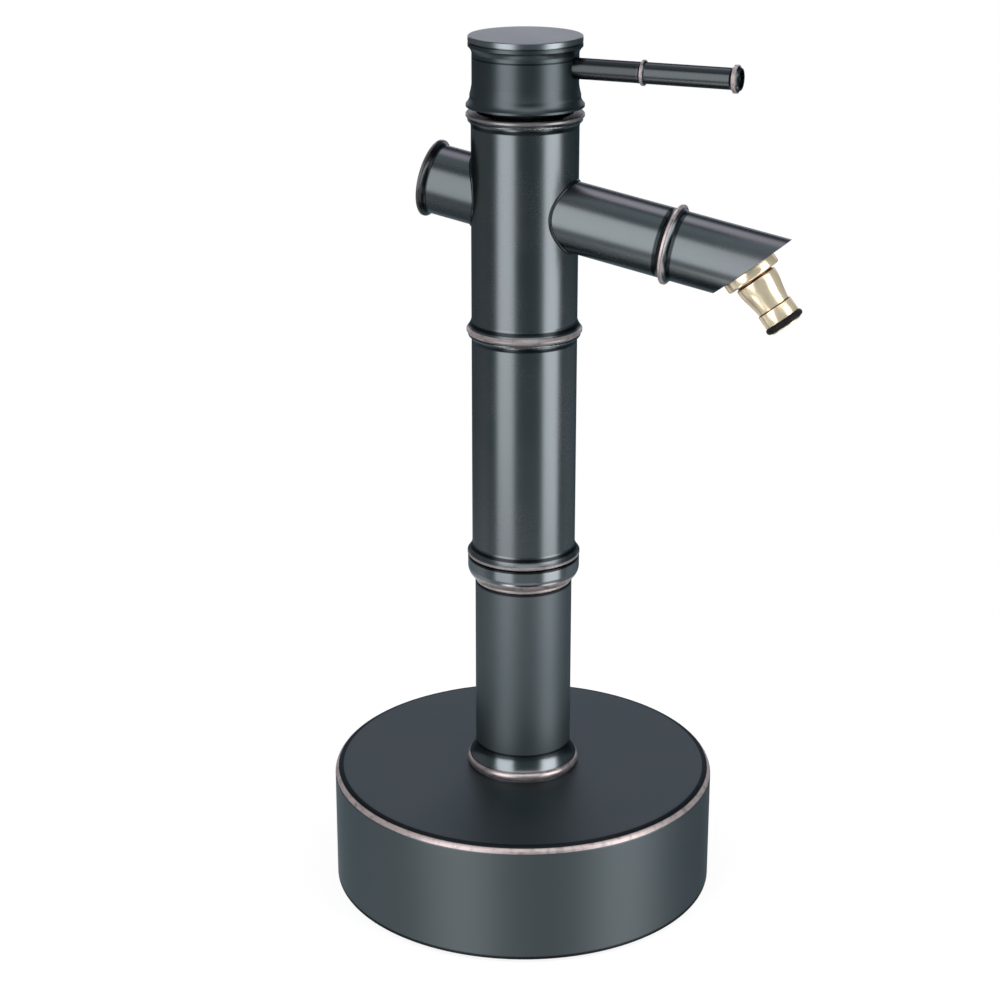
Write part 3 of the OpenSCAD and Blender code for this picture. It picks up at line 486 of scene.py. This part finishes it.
# Half-inch thread inside the inlet, as one ridge that climbs the bore: it rises to a flat crest,
# falls again, and its foot is sunk into the wall
thread = {
    "major": 10.48, "minor": 9.35, "pitch": 1.814, "turns": 7, "start": 2.6, "sunk": 0.15,
    "riseEnd": 0.75, "crestEnd": 1.05, "fallEnd": 1.75, "steps": 60,
}
wall = thread["major"] + thread["sunk"]
work = bmesh.new()
ridge = [work.verts.new((radius, 0, thread["start"] + height)) for radius, height in (
    (wall, 0), (thread["minor"], thread["riseEnd"]), (thread["minor"], thread["crestEnd"]),
    (wall, thread["fallEnd"]))]
for first, second in zip(ridge, ridge[1:] + ridge[:1]):
    work.edges.new((first, second))
startFace = work.faces.new(ridge)
bmesh.ops.spin(work, geom=[startFace], cent=(0, 0, 0), axis=(0, 0, 1),
               angle=2 * math.pi * thread["turns"], steps=thread["steps"] * thread["turns"],
               dvec=(0, 0, thread["pitch"] / thread["steps"]))
finished("inletThread", work, "column", internals["rawBrass"][0])
print("inlet thread cut")


# Rubber feet: rounded pads with a hollow and two grip grooves underneath
foot = {
    "radius": 9.0, "height": 4.0, "circle": 70.0, "count": 4, "hollow": 3.2, "hollowDepth": 1.6,
    "grooves": (5.2, 7.2), "grooveWidth": 1.0, "grooveDepth": 0.6, "slant": 0.2, "steps": 72,
}
middle = 0.01                         # just off the axis, where merged doubles close the pad
padOutline = [(middle, foot["hollowDepth"], 0), (foot["hollow"], foot["hollowDepth"], 0.2),
              (foot["hollow"] + 2 * foot["slant"], 0, 0.3)]
for inner in foot["grooves"]:
    outer = inner + foot["grooveWidth"]
    padOutline += [(inner, 0, 0.2), (inner + foot["slant"], foot["grooveDepth"], 0.1),
                   (outer - foot["slant"], foot["grooveDepth"], 0.1), (outer, 0, 0.2)]
padOutline += [(foot["radius"] - foot["slant"], 0, 0.3), (foot["radius"], foot["height"], 0.3),
               (middle, foot["height"], 0)]
work = bmesh.new()
for i in range(foot["count"]):
    pad = turnedOutline(padOutline, foot["steps"])
    turn = Matrix.Rotation(2 * math.pi * i / foot["count"], 4, "Z")
    pad.transform(turn @ Matrix.Translation((foot["circle"], 0, 0)))
    single = bpy.data.meshes.new("pad")
    pad.to_mesh(single)
    pad.free()
    work.from_mesh(single)
    bpy.data.meshes.remove(single)
footPads = finished("footPads", work, "column", internals["rubber"][0])
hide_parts("rubber_feet")
print("feet moulded")


# Studio. Directions are degrees round from the photo's front, towards the spout
studio = {
    "cameraTurn": 22.0, "cameraFlat": 0.97294, "cameraHeight": 0.53721,
    "cameraDip": 0.3482, "cameraAside": -0.0109, "lens": 83.463,
    # lamps for dull surfaces and shadows: (direction, distance, height, size, brightness)
    "lamps": {"leftLamp": (-19, 1.3, 0.9, 0.8, 3.0), "rightLamp": (82, 1.3, 0.9, 0.8, 3.0)},
    "lampAim": 0.2,
    # floor: what it shows to lamps and to the camera, and how much of it glows for the camera
    "floorRadius": 0.42, "floorGap": 0.0003, "floorColour": (0.42, 0.42, 0.42),
    "floorToCamera": (0.92, 0.92, 0.92), "floorGlow": 1.2, "floorGlowShare": 0.7,
    "ambient": 0.55,
    # tent that the metal mirrors, with its colours level, overhead and underneath
    "tentHeight": 0.25, "tentRadius": 2.4, "level": (0.12, 0.165, 0.18),
    "overhead": (0.75, 0.86, 0.90), "overheadFrom": (50, 78),
    "ground": (0.40, 0.46, 0.49), "groundFrom": (-20, -30),
    # its windows: (direction, half width, softness), (degrees up, half height, softness), colour.
    # Where two overlap, the later one shows
    "windows": [((-98, 34, 30), (0, 60, 30), (0.27, 0.285, 0.295)),
                ((-105, 45, 30), (-36, 12, 8), (0.95, 0.98, 1.0)),
                ((145, 25, 20), (-24, 10, 8), (0.50, 0.53, 0.55)),
                ((18, 34, 20), (-34, 9, 8), (0.85, 0.88, 0.9)),
                ((32, 30, 14), (47, 13, 12), (2.0, 2.0, 2.0)),
                ((-19, 19, 6), (11.5, 34.5, 12), (3.2, 3.2, 3.2)),
                ((82.5, 18.5, 6), (7.2, 32.8, 11), (3.75, 3.75, 3.75)),
                ((34, 30, 14), (-54, 12, 8), (0.06, 0.07, 0.08)),
                ((-16, 13, 6), (-58, 14, 6), (5.0, 4.7, 4.5)),
                ((91, 18, 8), (-56, 13, 8), (3.9, 3.7, 3.5)),
                ((200, 24, 10), (60, 13, 10), (2.75, 2.4, 2.6)),
                ((202, 38, 16), (10, 8, 7), (1.9, 1.72, 1.8))],
}


def spot(direction, distance, height):
    turn = math.radians(direction)
    return Vector((math.sin(turn) * distance, -math.cos(turn) * distance, height))


for name, (direction, distance, height, size, brightness) in studio["lamps"].items():
    lamp = bpy.data.lights.new(name, "AREA")
    lamp.size = size
    lamp.energy = brightness * math.pi * size * size
    holder = bpy.data.objects.new(name, lamp)
    holder.location = spot(direction, distance, height)
    aim = Vector((0, 0, studio["lampAim"])) - holder.location
    holder.rotation_euler = aim.to_track_quat("-Z", "Y").to_euler()
    holder.visible_glossy = False
    bpy.context.scene.collection.objects.link(holder)


# A shape round the object, from a bmesh at that height, with the shader of a node tree
def stagePiece(name, work, height, tree, shader):
    work.transform(Matrix.Translation((0, 0, height)))
    mesh = bpy.data.meshes.new(name)
    work.to_mesh(mesh)
    work.free()
    tree.node("ShaderNodeOutputMaterial", {}, [shader])
    mesh.materials.append(tree.owner)
    piece = bpy.data.objects.new(name, mesh)
    bpy.context.scene.collection.objects.link(piece)
    return piece


# What the metal mirrors: a dim tent with soft windows. Only shiny surfaces see it
cloth = NodeTree(bpy.data.materials.new("tentCloth"))
place = cloth.objectPlace()
across, depth, rise = (cloth.node("ShaderNodeSeparateXYZ", {}, [place], axis) for axis in range(3))
up = ((rise * mm - studio["tentHeight"]) * (1 / studio["tentRadius"])).mathNode("ARCSINE")
up = up * math.degrees(1)
bearing = across.mathNode("ARCTAN2", across, 0 - depth) * math.degrees(1)
light = cloth.mixed(up.rise(*studio["overheadFrom"]), studio["level"], studio["overhead"])
light = cloth.mixed(up.rise(*studio["groundFrom"]), light, studio["ground"])
for (direction, halfWidth, softRound), (height, halfHeight, softUp), colour in studio["windows"]:
    aside = bearing.mathNode("WRAP", bearing - direction, 180, -180).mathNode("ABSOLUTE")
    lit = 1 - aside.rise(halfWidth - softRound / 2, halfWidth + softRound / 2)
    lit = lit * (1 - up.away(height).rise(halfHeight - softUp / 2, halfHeight + softUp / 2))
    light = cloth.mixed(lit, light, colour)
work = bmesh.new()
bmesh.ops.create_uvsphere(work, u_segments=48, v_segments=24, radius=studio["tentRadius"])
tent = stagePiece("tent", work, studio["tentHeight"], cloth,
                  cloth.node("ShaderNodeEmission", {}, {"Color": light}))
tent.visible_camera = tent.visible_diffuse = tent.visible_shadow = False
tent.visible_transmission = tent.visible_volume_scatter = False

# Pale floor: white to the camera apart from the shadow
paving = NodeTree(bpy.data.materials.new("paleFloor"))
toCamera = paving.rayIs("Camera")
paint = paving.mixed(toCamera, studio["floorColour"], studio["floorToCamera"])
dull = paving.node("ShaderNodeBsdfDiffuse", {}, {"Color": paint})
glow = paving.node("ShaderNodeEmission", {}, {"Strength": studio["floorGlow"]})
work = bmesh.new()
bmesh.ops.create_circle(work, cap_ends=True, segments=128, radius=studio["floorRadius"])
floor = stagePiece("floor", work, -studio["floorGap"], paving,
                   paving.node("ShaderNodeMixShader", {},
                               [toCamera * studio["floorGlowShare"], dull, glow]))
floor.visible_glossy = False

# World: white to the camera, to mirrors and through glass, plain ambient light otherwise
bpy.context.scene.world = bpy.data.worlds.new("studioWorld")
sky = NodeTree(bpy.context.scene.world)
seen = sky.rayIs("Camera").larger(sky.rayIs("Glossy")).larger(sky.rayIs("Transmission"))
strength = seen * (1 - studio["ambient"]) + studio["ambient"]
white = sky.node("ShaderNodeBackground", {}, {"Color": (1, 1, 1), "Strength": strength})
sky.node("ShaderNodeOutputWorld", {}, [white])

# Camera: a little above the tap's head, turned a little towards the spout's end
camera = bpy.data.objects.new("camera", bpy.data.cameras.new("camera"))
camera.data.lens = studio["lens"]
camera.data.clip_start, camera.data.clip_end = 0.01, 20
camera.location = spot(studio["cameraTurn"], studio["cameraFlat"], studio["cameraHeight"])
camera.rotation_euler = (math.pi / 2 - studio["cameraDip"], 0,
                         math.radians(studio["cameraTurn"]) - studio["cameraAside"])
bpy.context.scene.collection.objects.link(camera)
bpy.context.scene.camera = camera
bpy.context.scene.view_settings.view_transform = "Standard"
print("studio and camera set")
